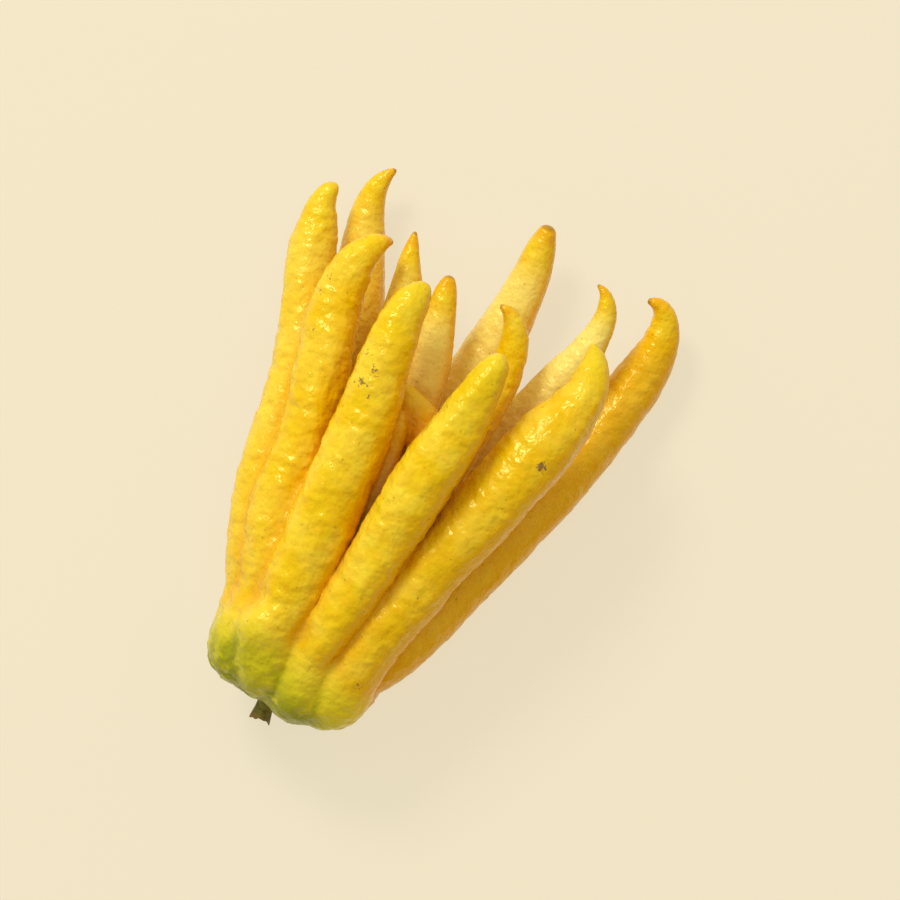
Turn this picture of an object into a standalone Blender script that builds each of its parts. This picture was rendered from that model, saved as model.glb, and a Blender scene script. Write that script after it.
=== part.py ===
"""Buddha's hand citron (Citrus medica var. sarcodactylis), as picked, lying on its side.

One grown fruit, its calyx and the stub of its stalk. Every finger is a carpel that
starts at the stalk, swells over the dome of the fruit and then runs on as a free,
tapering finger. +Y runs from the stalk to the fingertips, +X is to the right seen
from above, +Z is up. The origin is on the floor, under the middle of the whole
object. Lengths below are millimetres and are turned to metres by MM.
"""

import math

import bmesh
import bpy
from mathutils import Matrix, Vector

MM = 0.001

# Driving dimensions of the fruit: x, y, z and radius, or x, y and z.
STALK_POINT = (-5.0, -80.0, 26.0, 7.0)  # where all outer carpels start
PALM_POINT = (-5.0, -66.0, 31.0, 8.0)  # where the inner carpels start
CORE_CENTRE = (-4.0, -59.0, 31.0)
CORE_HALF_AXES = (24.5, 25.0, 23.5)
SINK = 0.6  # how far the fruit is pressed flat where it rests

# The stalk end: a seat in the recess between the carpels, the calyx on it, and the stub.
STALK_AXIS = (0.09, -0.965, -0.25)  # pointing away from the fruit
SEAT_CENTRE = (-7.4, -87.5, 23.0)
SEAT_RADIUS = 8.0
SEAT_MOUTH_RADIUS = 10.0
SEAT_REACH = 20.0
GAP = 0.3  # kept between neighbouring pieces
CALYX_THICKNESS = 1.6
CALYX_INNER = 4.9
CALYX_OUTER = 7.2
CALYX_LOBES = 5
CALYX_POINTS_PER_LOBE = 8
STUB_SIDES = 16
STUB_RINGS = (  # distance from the calyx and radius
    (0.0, 4.6),
    (1.2, 3.9),
    (3.5, 3.3),
    (6.5, 3.1),
    (8.2, 3.3),
    (9.6, 3.6),
)
STUB_TORN = 1.1  # height of the torn corners at the cut end

# How finely the solid is made.
TUBE_SIDES = 20
SPANS_PER_STATION = 5
VOXEL = 1.3
SMOOTH_PASSES = 3
KEPT_FACES = 0.06  # share of the remeshed faces that the plain solid needs
FLOOR_CUTTER = 400.0
FLOOR_CUTTER_DEPTH = 20.0

# Each finger's centre line from the stalk outwards: x, y, z and radius at each station.
OUTER_FINGERS = {
    "outer_left": (
        (-21.8, -79.0, 27.0, 12.2),
        (-25.2, -69.0, 29.5, 11.8),
        (-28.6, -60.0, 31.5, 9.7),
        (-31.6, -51.5, 33.0, 10.2),
        (-37.5, -36.0, 32.5, 10.2),
        (-42.5, -16.0, 30.5, 10.0),
        (-46.0, 4.5, 29.5, 9.6),
        (-51.0, 24.5, 27.5, 9.1),
        (-57.0, 42.0, 25.5, 8.8),
        (-61.5, 55.0, 24.5, 8.3),
        (-64.0, 65.0, 24.5, 7.0),
        (-66.0, 72.0, 25.0, 5.2),
        (-65.8, 77.0, 25.5, 3.7),
        (-65.0, 79.0, 25.8, 2.4),
    ),
    "upper_left": (
        (-21.5, -81.8, 33.0, 11.6),
        (-22.5, -70.0, 38.5, 11.6),
        (-24.6, -55.5, 42.0, 9.4),
        (-31.3, -35.5, 43.0, 9.5),
        (-34.2, -15.5, 43.0, 9.2),
        (-37.0, 4.5, 42.5, 9.5),
        (-40.4, 21.5, 42.5, 9.8),
        (-44.0, 36.5, 42.5, 9.2),
        (-45.5, 47.5, 43.0, 8.0),
        (-45.5, 57.5, 44.0, 6.8),
        (-43.3, 64.4, 44.5, 4.9),
        (-40.3, 68.7, 44.0, 2.6),
        (-38.0, 70.0, 43.5, 1.2),
    ),
    "low_left": (
        (-12.5, -84.0, 16.5, 12.3),
        (-18.0, -64.5, 13.0, 12.2),
        (-19.5, -44.5, 11.7, 11.5),
        (-23.0, -18.0, 11.0, 11.0),
        (-28.7, 9.5, 10.5, 10.5),
        (-34.3, 30.0, 10.3, 10.0),
        (-39.3, 45.0, 10.5, 9.6),
        (-44.0, 57.0, 11.0, 8.8),
        (-48.0, 68.5, 11.5, 7.4),
        (-51.0, 78.5, 12.5, 5.6),
        (-51.5, 86.5, 14.0, 3.9),
        (-50.2, 91.5, 15.0, 2.4),
        (-48.7, 94.0, 16.0, 1.3),
    ),
    "top_left": (
        (-12.0, -83.0, 37.0, 11.2),
        (-15.3, -69.0, 46.0, 11.6),
        (-15.4, -52.0, 50.5, 11.0),
        (-15.8, -35.0, 53.0, 11.5),
        (-16.6, -15.3, 55.0, 11.7),
        (-17.5, 4.6, 57.0, 11.3),
        (-19.2, 19.5, 59.0, 10.3),
        (-21.3, 34.2, 60.5, 9.3),
        (-22.1, 46.0, 61.0, 8.0),
        (-21.6, 54.0, 61.0, 6.4),
        (-20.4, 58.5, 60.5, 3.9),
        (-20.0, 60.0, 60.3, 2.0),
    ),
    "top_middle": (
        (1.5, -85.5, 36.0, 11.3),
        (0.8, -70.5, 47.0, 9.0),
        (2.3, -60.0, 52.0, 8.8),
        (4.4, -43.0, 55.5, 9.2),
        (6.4, -25.0, 59.0, 9.8),
        (7.9, -10.2, 62.0, 10.6),
        (9.5, 4.6, 64.5, 10.6),
        (11.8, 19.4, 66.5, 9.8),
        (13.0, 32.2, 68.0, 8.1),
        (13.5, 40.1, 69.0, 6.6),
        (14.3, 46.0, 69.5, 4.9),
        (14.5, 49.4, 69.3, 2.2),
    ),
    "top_right": (
        (12.2, -82.3, 34.0, 12.2),
        (15.2, -70.4, 42.0, 10.9),
        (18.0, -56.3, 45.5, 10.8),
        (22.0, -40.3, 47.5, 11.0),
        (25.1, -25.3, 49.0, 11.4),
        (29.4, -10.4, 50.5, 11.6),
        (33.9, 4.5, 51.5, 12.0),
        (37.1, 16.5, 52.0, 12.0),
        (41.3, 31.4, 52.0, 11.4),
        (45.3, 44.3, 51.0, 9.4),
        (46.5, 54.3, 49.5, 7.4),
        (45.1, 62.3, 48.0, 4.9),
        (43.2, 66.3, 47.3, 2.8),
        (41.7, 68.3, 47.0, 1.2),
    ),
    "outer_right": (
        (12.6, -80.3, 26.0, 12.3),
        (18.4, -70.5, 28.0, 10.4),
        (25.1, -59.0, 28.5, 10.5),
        (31.1, -45.0, 27.0, 10.4),
        (37.7, -25.8, 25.0, 10.0),
        (44.3, -5.7, 22.0, 10.0),
        (50.5, 14.5, 18.0, 10.0),
        (55.8, 33.8, 12.6, 10.0),
        (59.5, 50.0, 9.9, 9.9),
        (62.1, 65.4, 9.5, 9.2),
        (63.3, 75.6, 11.5, 7.5),
        (62.5, 84.6, 13.5, 5.5),
        (60.2, 90.2, 15.5, 4.0),
        (56.7, 92.5, 17.0, 2.6),
        (53.8, 92.4, 18.0, 1.4),
    ),
    "low_right": (
        (9.0, -81.3, 17.0, 12.2),
        (13.5, -66.6, 14.3, 12.0),
        (16.0, -50.4, 13.8, 11.3),
        (19.0, -26.0, 14.0, 10.0),
        (23.0, -0.7, 15.5, 8.8),
        (27.7, 18.6, 17.3, 8.0),
        (30.7, 31.7, 19.0, 8.0),
        (33.8, 42.8, 21.0, 8.0),
        (37.1, 52.9, 23.0, 7.6),
        (40.1, 62.9, 25.0, 6.5),
        (41.6, 71.9, 27.0, 5.2),
        (41.5, 79.5, 28.3, 4.2),
        (39.7, 84.7, 29.3, 3.1),
        (37.1, 87.7, 30.0, 1.9),
        (34.6, 88.8, 30.5, 1.0),
    ),
    "low_middle": (
        (0.8, -85.0, 15.0, 12.6),
        (-1.2, -64.7, 12.3, 12.0),
        (-0.8, -42.4, 11.5, 11.5),
        (2.3, -16.0, 11.0, 11.0),
        (6.0, 9.4, 10.5, 10.5),
        (8.4, 29.8, 10.3, 10.3),
        (9.8, 47.0, 10.5, 10.0),
        (11.0, 60.2, 11.5, 9.4),
        (11.6, 73.4, 13.5, 8.0),
        (11.3, 84.4, 16.0, 6.6),
        (10.4, 92.4, 18.0, 5.2),
        (9.9, 97.4, 20.0, 3.4),
    ),
}
INNER_FINGERS = {
    "small_left": (
        (-7.6, -48.0, 30.0, 9.0),
        (-12.0, -17.7, 29.0, 8.5),
        (-16.2, 12.5, 28.0, 8.0),
        (-20.3, 34.6, 27.0, 7.5),
        (-23.8, 48.8, 27.5, 6.9),
        (-26.8, 59.8, 28.5, 5.5),
        (-29.5, 67.8, 29.5, 3.8),
        (-31.1, 73.9, 30.0, 2.1),
        (-31.8, 76.9, 30.3, 1.0),
    ),
    "small_middle": (
        (-1.6, -47.8, 29.0, 9.0),
        (-0.5, -20.8, 29.0, 8.2),
        (-1.6, 6.5, 29.0, 7.6),
        (-4.3, 26.6, 30.0, 7.2),
        (-6.6, 38.6, 31.0, 6.9),
        (-9.6, 48.7, 32.5, 6.2),
        (-11.6, 57.2, 33.5, 5.0),
        (-13.0, 63.2, 34.0, 3.9),
        (-13.6, 66.5, 34.2, 2.6),
    ),
    "hooked": (
        (5.5, -45.7, 34.0, 9.0),
        (12.0, -10.6, 35.0, 8.0),
        (15.0, 14.5, 36.0, 7.6),
        (17.0, 32.5, 37.0, 7.2),
        (18.0, 42.5, 38.0, 6.6),
        (17.9, 51.5, 39.0, 5.7),
        (16.2, 58.5, 40.0, 4.9),
        (13.5, 63.5, 41.5, 3.8),
        (10.0, 66.2, 43.0, 2.3),
        (7.2, 66.9, 44.0, 1.0),
    ),
    "crossing": (
        (4.5, -40.5, 38.0, 8.0),
        (7.5, -9.5, 41.0, 7.7),
        (6.3, 6.5, 42.0, 7.6),
        (0.5, 17.5, 43.0, 7.1),
        (-6.0, 22.0, 44.0, 5.6),
        (-10.5, 24.5, 44.5, 4.0),
        (-14.0, 26.0, 45.0, 2.0),
    ),
    "web": (
        (-20.0, -52.0, 38.0, 8.0),
        (-24.0, -32.0, 40.0, 8.0),
        (-26.0, -12.0, 40.5, 7.0),
        (-27.5, 2.0, 41.0, 5.5),
        (-28.0, 9.0, 41.0, 3.0),
    ),
    "bud": (
        (-7.5, -55.5, 38.0, 8.0),
        (-8.5, -33.5, 42.0, 7.5),
        (-7.5, -9.5, 45.0, 6.3),
        (-7.0, 4.5, 47.0, 5.2),
        (-7.3, 12.5, 48.0, 4.0),
        (-8.0, 17.3, 48.3, 1.8),
    ),
}


def curve_through(stations, spans):
    """Returns points and radii along a smooth curve through the stations."""
    ends = [
        tuple(2 * a - b for a, b in zip(stations[0], stations[1])),
        *stations,
        tuple(2 * a - b for a, b in zip(stations[-1], stations[-2])),
    ]
    points = []
    for before, start, end, after in zip(ends, ends[1:], ends[2:], ends[3:]):
        for step in range(spans):
            t = step / spans
            points.append(
                tuple(
                    0.5
                    * (
                        2 * q
                        + (r - p) * t
                        + (2 * p - 5 * q + 4 * r - s) * t**2
                        + (3 * q - p - 3 * r + s) * t**3
                    )
                    for p, q, r, s in zip(before, start, end, after)
                )
            )
    points.append(stations[-1])
    return [(Vector(point[:3]), max(point[3], 0.6)) for point in points]


def add_rings(mesh, rings, sides):
    """Joins the rings into a closed tube. A ring is centre, side, up, radius and lifts."""
    made = []
    for centre, side, up, along, radius, lifts in rings:
        ring = []
        for index in range(sides):
            angle = math.tau * index / sides
            offset = side * math.cos(angle) + up * math.sin(angle)
            lift = along * lifts[index] if lifts else Vector()
            ring.append(mesh.verts.new((centre + offset * radius + lift) * MM))
        made.append(ring)
    for lower, upper in zip(made, made[1:]):
        for index in range(sides):
            after = (index + 1) % sides
            mesh.faces.new((lower[index], lower[after], upper[after], upper[index]))
    mesh.faces.new(reversed(made[0]))
    mesh.faces.new(made[-1])


def add_finger(mesh, stations):
    """Adds one finger as a tube with a rounded tip, turning its rings as little as it can."""
    path = curve_through(stations, SPANS_PER_STATION)
    rings = []
    side = Vector((1.0, 0.0, 0.0))
    for index, (centre, radius) in enumerate(path):
        ahead = path[min(index + 1, len(path) - 1)][0]
        behind = path[max(index - 1, 0)][0]
        along = (ahead - behind).normalized()
        side = (side - along * side.dot(along)).normalized()
        rings.append((centre, side, along.cross(side), along, radius, None))
    centre, side, up, along, radius, _ = rings[-1]
    for angle in (30, 60, 80):
        turn = math.radians(angle)
        tip = centre + along * radius * math.sin(turn)
        rings.append((tip, side, up, along, radius * math.cos(turn), None))
    add_rings(mesh, rings, TUBE_SIDES)


def new_object(name, mesh):
    """Turns a bmesh into an object with outward faces."""
    bmesh.ops.recalc_face_normals(mesh, faces=mesh.faces)
    data = bpy.data.meshes.new(name)
    mesh.to_mesh(data)
    mesh.free()
    made = bpy.data.objects.new(name, data)
    bpy.context.scene.collection.objects.link(made)
    return made


def helper(made):
    """Marks an object as a cutter, which is no part of the fruit."""
    made.hide_render = True
    made.display_type = "WIRE"
    return made


def evaluated_copy(source):
    """Returns a bmesh of an object after its modifiers."""
    graph = bpy.context.evaluated_depsgraph_get()
    mesh = bmesh.new()
    mesh.from_object(source, graph)
    return mesh


def keep_outer_skin(mesh):
    """Removes the skins of any hollows between the carpels, so that the fruit is solid."""
    left = set(mesh.faces)
    skins = []
    while left:
        front = [left.pop()]
        skin = list(front)
        while front:
            face = front.pop()
            for edge in face.edges:
                for other in edge.link_faces:
                    if other in left:
                        left.remove(other)
                        front.append(other)
                        skin.append(other)
        skins.append(skin)
    skins.sort(key=len)
    hidden = [face for skin in skins[:-1] for face in skin]
    bmesh.ops.delete(mesh, geom=hidden, context="FACES")


def grown_skin():
    """Returns the fine closed skin of all carpels grown together."""
    mesh = bmesh.new()
    for stations in OUTER_FINGERS.values():
        add_finger(mesh, (STALK_POINT, *stations))
    for stations in INNER_FINGERS.values():
        add_finger(mesh, (PALM_POINT, *stations))
    place = Matrix.Translation(Vector(CORE_CENTRE) * MM)
    shape = Matrix.Diagonal((*(Vector(CORE_HALF_AXES) * MM), 1.0))
    bmesh.ops.create_uvsphere(
        mesh, u_segments=32, v_segments=20, radius=1.0, matrix=place @ shape
    )
    carpels = new_object("carpels", mesh)
    remesh = carpels.modifiers.new("grow_together", "REMESH")
    remesh.mode = "VOXEL"
    remesh.voxel_size = VOXEL * MM
    soften = carpels.modifiers.new("soften", "SMOOTH")
    soften.factor = 0.5
    soften.iterations = SMOOTH_PASSES
    skin = evaluated_copy(carpels)
    bpy.data.objects.remove(carpels, do_unlink=True)
    keep_outer_skin(skin)
    return skin


def floor_cutter():
    """Returns the block under the floor, which presses the resting flats."""
    mesh = bmesh.new()
    size = Matrix.Diagonal((FLOOR_CUTTER, FLOOR_CUTTER, FLOOR_CUTTER_DEPTH, 1.0 / MM))
    bmesh.ops.create_cube(mesh, size=1.0, matrix=size * MM)
    drop = Vector((0.0, 0.0, (SINK - FLOOR_CUTTER_DEPTH / 2) * MM))
    bmesh.ops.translate(mesh, verts=mesh.verts, vec=drop)
    return helper(new_object("floor_cutter", mesh))


def stalk_frame():
    """Returns the unit directions along and across the stalk."""
    along = Vector(STALK_AXIS).normalized()
    side = Vector((1.0, 0.0, 0.0))
    side = (side - along * side.dot(along)).normalized()
    return along, side, along.cross(side)


def seat_cutter():
    """Returns the plug that clears the seat of the calyx."""
    along, side, up = stalk_frame()
    centre = Vector(SEAT_CENTRE)
    rings = [
        (centre, side, up, along, SEAT_RADIUS, None),
        (centre + along * SEAT_REACH, side, up, along, SEAT_MOUTH_RADIUS, None),
    ]
    mesh = bmesh.new()
    add_rings(mesh, rings, 32)
    return helper(new_object("seat_cutter", mesh))


def build_fruit():
    """Builds the one-piece fruit."""
    fruit = new_object("fruit", grown_skin())
    plain = fruit.modifiers.new("plain", "DECIMATE")
    plain.ratio = KEPT_FACES
    for name, cutter in (("rest_flat", floor_cutter()), ("seat", seat_cutter())):
        cut = fruit.modifiers.new(name, "BOOLEAN")
        cut.operation = "DIFFERENCE"
        cut.solver = "EXACT"
        cut.object = cutter
    return fruit


def build_calyx():
    """Builds the five-lobed calyx, a thin star with its lobes bent outwards."""
    along, side, up = stalk_frame()
    centre = Vector(SEAT_CENTRE) + along * GAP
    sides = CALYX_LOBES * CALYX_POINTS_PER_LOBE
    mesh = bmesh.new()
    layers = []
    for lift in (0.0, CALYX_THICKNESS):
        hub = mesh.verts.new((centre + along * lift) * MM)
        inner, outer = [], []
        for index in range(sides):
            angle = math.tau * index / sides
            lobe = abs(math.cos(angle * CALYX_LOBES / 2)) ** 1.4
            reach = CALYX_INNER + (CALYX_OUTER - CALYX_INNER) * lobe
            way = side * math.cos(angle) + up * math.sin(angle)
            thin = 0.55 if lift else 0.0
            inner.append(mesh.verts.new((centre + way * 3.2 + along * lift) * MM))
            rise = lift - thin * (1.0 - lobe * 0.5)
            outer.append(mesh.verts.new((centre + way * reach + along * rise) * MM))
        layers.append((hub, inner, outer))
    for hub, inner, outer in layers:
        for index in range(sides):
            after = (index + 1) % sides
            mesh.faces.new((hub, inner[index], inner[after]))
            mesh.faces.new((inner[index], outer[index], outer[after], inner[after]))
    low, high = layers[0][2], layers[1][2]
    for index in range(sides):
        after = (index + 1) % sides
        mesh.faces.new((low[index], low[after], high[after], high[index]))
    return new_object("calyx", mesh)


def build_stub():
    """Builds the stub of the stalk, flared at both ends and torn across its outer end."""
    along, side, up = stalk_frame()
    start = Vector(SEAT_CENTRE) + along * (GAP + CALYX_THICKNESS + GAP)
    rings = []
    for distance, radius in STUB_RINGS:
        rings.append((start + along * distance, side, up, along, radius, None))
    torn = [
        STUB_TORN * abs(math.cos(math.tau * index / STUB_SIDES + 0.3)) ** 3
        for index in range(STUB_SIDES)
    ]
    distance, radius = STUB_RINGS[-1]
    end = start + along * (distance + 0.8)
    rings.append((end, side, up, along, radius * 0.92, torn))
    rings.append((end, side, up, along, radius * 0.5, [0.4 * lift for lift in torn]))
    mesh = bmesh.new()
    add_rings(mesh, rings, STUB_SIDES)
    return new_object("stub", mesh)


def material(name, colour, roughness):
    """Returns a plain Principled material."""
    made = bpy.data.materials.new(name)
    made.use_nodes = True
    shader = made.node_tree.nodes["Principled BSDF"]
    shader.inputs["Base Color"].default_value = (*colour, 1.0)
    shader.inputs["Roughness"].default_value = roughness
    made.diffuse_color = (*colour, 1.0)
    return made


def main():
    """Clears the scene and builds every piece."""
    for old in list(bpy.data.objects):
        bpy.data.objects.remove(old, do_unlink=True)
    fruit = build_fruit()
    calyx = build_calyx()
    stub = build_stub()
    stub.name = "stem_stub"
    stub.data.name = "stem_stub"
    for piece, finish in (
        (fruit, material("rind", (0.86, 0.54, 0.02), 0.45)),
        (calyx, material("calyx_green", (0.17, 0.2, 0.05), 0.7)),
        (stub, material("stem_green", (0.22, 0.24, 0.06), 0.75)),
    ):
        piece.data.materials.append(finish)
        for face in piece.data.polygons:
            face.use_smooth = piece is not calyx
    for placed in bpy.data.objects:
        placed.location.z -= SINK * MM


main()
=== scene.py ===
"""Looks of a fingered citron lying on its side, as picked.

The rind is grown from the carpels: each finger is a tapering limb along its own centre
line, and all limbs flow into one skin with deep creases between them. The skin then gets
the swellings, cobbles and faint ribs of the rind in its mesh, and its oil glands, wax and
colours in its finish. The calyx and the stub of the stalk are separate pieces. Lengths
are millimetres, except the studio's, which are metres, as are the finished meshes.
"""

from __future__ import annotations

import logging
import math
from dataclasses import dataclass, field
from enum import Enum

import bmesh
import bpy
import numpy as np
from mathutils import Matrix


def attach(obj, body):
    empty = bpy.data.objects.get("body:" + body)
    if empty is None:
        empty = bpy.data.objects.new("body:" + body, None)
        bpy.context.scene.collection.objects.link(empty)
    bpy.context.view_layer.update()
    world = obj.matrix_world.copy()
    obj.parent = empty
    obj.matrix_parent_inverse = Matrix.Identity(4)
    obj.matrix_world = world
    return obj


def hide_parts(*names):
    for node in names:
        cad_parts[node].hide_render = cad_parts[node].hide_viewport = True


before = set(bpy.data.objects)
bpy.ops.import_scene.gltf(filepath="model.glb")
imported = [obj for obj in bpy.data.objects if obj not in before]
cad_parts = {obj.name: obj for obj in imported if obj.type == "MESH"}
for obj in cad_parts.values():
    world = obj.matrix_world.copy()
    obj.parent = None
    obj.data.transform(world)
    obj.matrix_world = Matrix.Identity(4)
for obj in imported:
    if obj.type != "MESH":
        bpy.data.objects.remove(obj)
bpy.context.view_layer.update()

import openvdb
from mathutils import Vector

LOG = logging.getLogger("citron")
MM = 0.001
Station = tuple[float, float, float, float]  # x, y, z and radius
Point = tuple[float, float, float]
Colour = tuple[float, float, float]

STALK_POINT: Station = (-5.0, -80.0, 26.0, 7.0)  # where the outer fingers start
PALM_POINT: Station = (-5.0, -66.0, 31.0, 8.0)  # where the inner ones start
CORE_CENTRE: Point = (-4.0, -59.0, 31.0)
CORE_HALF_AXES: Point = (24.5, 25.0, 23.5)
SINK = 0.6  # how far the fruit is pressed flat where it rests
STALK_AXIS: Point = (0.09, -0.965, -0.25)  # pointing away from the fruit
SEAT_CENTRE: Point = (-7.4, -87.5, 23.0 - SINK)
SEAT_RADIUS = 6.6
SEAT_EDGE = 5.0  # how softly its rim is rounded
SEAT_FLARE = 0.12  # how much wider it gets for each millimetre out
LAMP_SIDE: Point = (-0.40, 0.20, 0.89)  # the side toward the lamp; rind facing it gets painted light and rind turned from it painted shade

# Each finger's centre line, from its root to its tip, as in the solid model.
OUTER_FINGERS: dict[str, tuple[Station, ...]] = {
    "outer_left": (
        (-21.8, -79.0, 27.0, 12.2), (-25.2, -69.0, 29.5, 11.8), (-28.6, -60.0, 31.5, 9.7),
        (-31.6, -51.5, 33.0, 10.2), (-37.5, -36.0, 32.5, 10.2), (-42.5, -16.0, 30.5, 10.0),
        (-46.0, 4.5, 29.5, 9.6), (-51.0, 24.5, 27.5, 9.1), (-57.0, 42.0, 25.5, 8.8),
        (-61.5, 55.0, 24.5, 8.3), (-64.0, 65.0, 24.5, 7.0), (-66.0, 72.0, 25.0, 5.2),
        (-65.8, 77.0, 25.5, 3.7), (-65.0, 79.0, 25.8, 2.4),
    ),
    "upper_left": (
        (-21.5, -81.8, 33.0, 11.6), (-22.5, -70.0, 38.5, 11.6), (-24.6, -55.5, 42.0, 9.4),
        (-31.3, -35.5, 43.0, 9.5), (-34.2, -15.5, 43.0, 9.2), (-37.0, 4.5, 42.5, 9.5),
        (-40.4, 21.5, 42.5, 9.8), (-44.0, 36.5, 42.5, 9.2), (-45.5, 47.5, 43.0, 8.0),
        (-45.5, 57.5, 44.0, 6.8), (-43.3, 64.4, 44.5, 4.9), (-40.3, 68.7, 44.0, 2.6),
        (-38.0, 70.0, 43.5, 1.2),
    ),
    "low_left": (
        (-12.5, -84.0, 16.5, 12.3), (-18.0, -64.5, 13.0, 12.2), (-19.5, -44.5, 11.7, 11.5),
        (-23.0, -18.0, 11.0, 11.0), (-28.7, 9.5, 10.5, 10.5), (-34.3, 30.0, 10.3, 10.0),
        (-39.3, 45.0, 10.5, 9.6), (-44.0, 57.0, 11.0, 8.8), (-48.0, 68.5, 11.5, 7.4),
        (-51.0, 78.5, 12.5, 5.6), (-51.5, 86.5, 14.0, 3.9), (-50.2, 91.5, 15.0, 2.4),
        (-48.7, 94.0, 16.0, 1.3),
    ),
    "top_left": (
        (-12.0, -83.0, 37.0, 11.2), (-15.3, -69.0, 46.0, 11.6), (-15.4, -52.0, 50.5, 11.0),
        (-15.8, -35.0, 53.0, 11.5), (-16.6, -15.3, 55.0, 11.7), (-17.5, 4.6, 57.0, 11.3),
        (-19.2, 19.5, 59.0, 10.3), (-21.3, 34.2, 60.5, 9.3), (-22.1, 46.0, 61.0, 8.0),
        (-21.6, 54.0, 61.0, 6.4), (-20.4, 58.5, 60.5, 3.9), (-20.0, 60.0, 60.3, 2.0),
    ),
    "top_middle": (
        (1.5, -85.5, 36.0, 11.3), (0.8, -70.5, 47.0, 9.0), (2.3, -60.0, 52.0, 8.8),
        (4.4, -43.0, 55.5, 9.2), (6.4, -25.0, 59.0, 9.8), (7.9, -10.2, 62.0, 10.6),
        (9.5, 4.6, 64.5, 10.6), (11.8, 19.4, 66.5, 9.8), (13.0, 32.2, 68.0, 8.1),
        (13.5, 40.1, 69.0, 6.6), (14.3, 46.0, 69.5, 4.9), (14.5, 49.4, 69.3, 2.2),
    ),
    "top_right": (
        (12.2, -82.3, 34.0, 12.2), (15.2, -70.4, 42.0, 10.9), (18.0, -56.3, 45.5, 10.8),
        (22.0, -40.3, 47.5, 11.0), (25.1, -25.3, 49.0, 11.4), (29.4, -10.4, 50.5, 11.6),
        (33.9, 4.5, 51.5, 12.0), (37.1, 16.5, 52.0, 12.0), (41.3, 31.4, 52.0, 11.4),
        (45.3, 44.3, 51.0, 9.4), (46.5, 54.3, 49.5, 7.4), (45.1, 62.3, 48.0, 4.9),
        (43.2, 66.3, 47.3, 2.8), (41.7, 68.3, 47.0, 1.2),
    ),
    "outer_right": (
        (12.6, -80.3, 26.0, 12.3), (18.4, -70.5, 28.0, 10.4), (25.1, -59.0, 28.5, 10.5),
        (31.1, -45.0, 27.0, 10.4), (37.7, -25.8, 25.0, 10.0), (44.3, -5.7, 22.0, 10.0),
        (50.5, 14.5, 18.0, 10.0), (55.8, 33.8, 12.6, 10.0), (59.5, 50.0, 9.9, 9.9),
        (62.1, 65.4, 9.5, 9.2), (63.3, 75.6, 11.5, 7.5), (62.5, 84.6, 13.5, 5.5),
        (60.2, 90.2, 15.5, 4.0), (56.7, 92.5, 17.0, 2.6), (53.8, 92.4, 18.0, 1.4),
    ),
    "low_right": (
        (9.0, -81.3, 17.0, 12.2), (13.5, -66.6, 14.3, 12.0), (16.0, -50.4, 13.8, 11.3),
        (19.0, -26.0, 14.0, 10.0), (23.0, -0.7, 15.5, 8.8), (27.7, 18.6, 17.3, 8.0),
        (30.7, 31.7, 19.0, 8.0), (33.8, 42.8, 21.0, 8.0), (37.1, 52.9, 23.0, 7.6),
        (40.1, 62.9, 25.0, 6.5), (41.6, 71.9, 27.0, 5.2), (41.5, 79.5, 28.3, 4.2),
        (39.7, 84.7, 29.3, 3.1), (37.1, 87.7, 30.0, 1.9), (34.6, 88.8, 30.5, 1.0),
    ),
    "low_middle": (
        (0.8, -85.0, 15.0, 12.6), (-1.2, -64.7, 12.3, 12.0), (-0.8, -42.4, 11.5, 11.5),
        (2.3, -16.0, 11.0, 11.0), (6.0, 9.4, 10.5, 10.5), (8.4, 29.8, 10.3, 10.3),
        (9.8, 47.0, 10.5, 10.0), (11.0, 60.2, 11.5, 9.4), (11.6, 73.4, 13.5, 8.0),
        (11.3, 84.4, 16.0, 6.6), (10.4, 92.4, 18.0, 5.2), (9.9, 97.4, 20.0, 3.4),
    ),
}
INNER_FINGERS: dict[str, tuple[Station, ...]] = {
    "small_left": (
        (-7.6, -48.0, 30.0, 9.0), (-12.0, -17.7, 29.0, 8.5), (-16.2, 12.5, 28.0, 8.0),
        (-20.3, 34.6, 27.0, 7.5), (-23.8, 48.8, 27.5, 6.9), (-26.8, 59.8, 28.5, 5.5),
        (-29.5, 67.8, 29.5, 3.8), (-31.1, 73.9, 30.0, 2.1), (-31.8, 76.9, 30.3, 1.0),
    ),
    "small_middle": (
        (-1.6, -47.8, 29.0, 9.0), (-0.5, -20.8, 29.0, 8.2), (-1.6, 6.5, 29.0, 7.6),
        (-4.3, 26.6, 30.0, 7.2), (-6.6, 38.6, 31.0, 6.9), (-9.6, 48.7, 32.5, 6.2),
        (-11.6, 57.2, 33.5, 5.0), (-13.0, 63.2, 34.0, 3.9), (-13.6, 66.5, 34.2, 2.6),
    ),
    "hooked": (
        (5.5, -45.7, 34.0, 9.0), (12.0, -10.6, 35.0, 8.0), (15.0, 14.5, 36.0, 7.6),
        (17.0, 32.5, 37.0, 7.2), (18.0, 42.5, 38.0, 6.6), (17.9, 51.5, 39.0, 5.7),
        (16.2, 58.5, 40.0, 4.9), (13.5, 63.5, 41.5, 3.8), (10.0, 66.2, 43.0, 2.3),
        (7.2, 66.9, 44.0, 1.0),
    ),
    "crossing": (
        (4.5, -40.5, 38.0, 8.0), (7.5, -9.5, 41.0, 7.7), (6.3, 6.5, 42.0, 7.6),
        (0.5, 17.5, 43.0, 7.1), (-6.0, 22.0, 44.0, 5.6), (-10.5, 24.5, 44.5, 4.0),
        (-14.0, 26.0, 45.0, 2.0),
    ),
    "web": (
        (-20.0, -52.0, 38.0, 8.0), (-24.0, -32.0, 40.0, 8.0), (-26.0, -12.0, 40.5, 7.0),
        (-27.5, 2.0, 41.0, 5.5), (-28.0, 9.0, 41.0, 3.0),
    ),
    "bud": (
        (-7.5, -55.5, 38.0, 8.0), (-8.5, -33.5, 42.0, 7.5), (-7.5, -9.5, 45.0, 6.3),
        (-7.0, 4.5, 47.0, 5.2), (-7.3, 12.5, 48.0, 4.0), (-8.0, 17.3, 48.3, 1.8),
    ),
}

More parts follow.
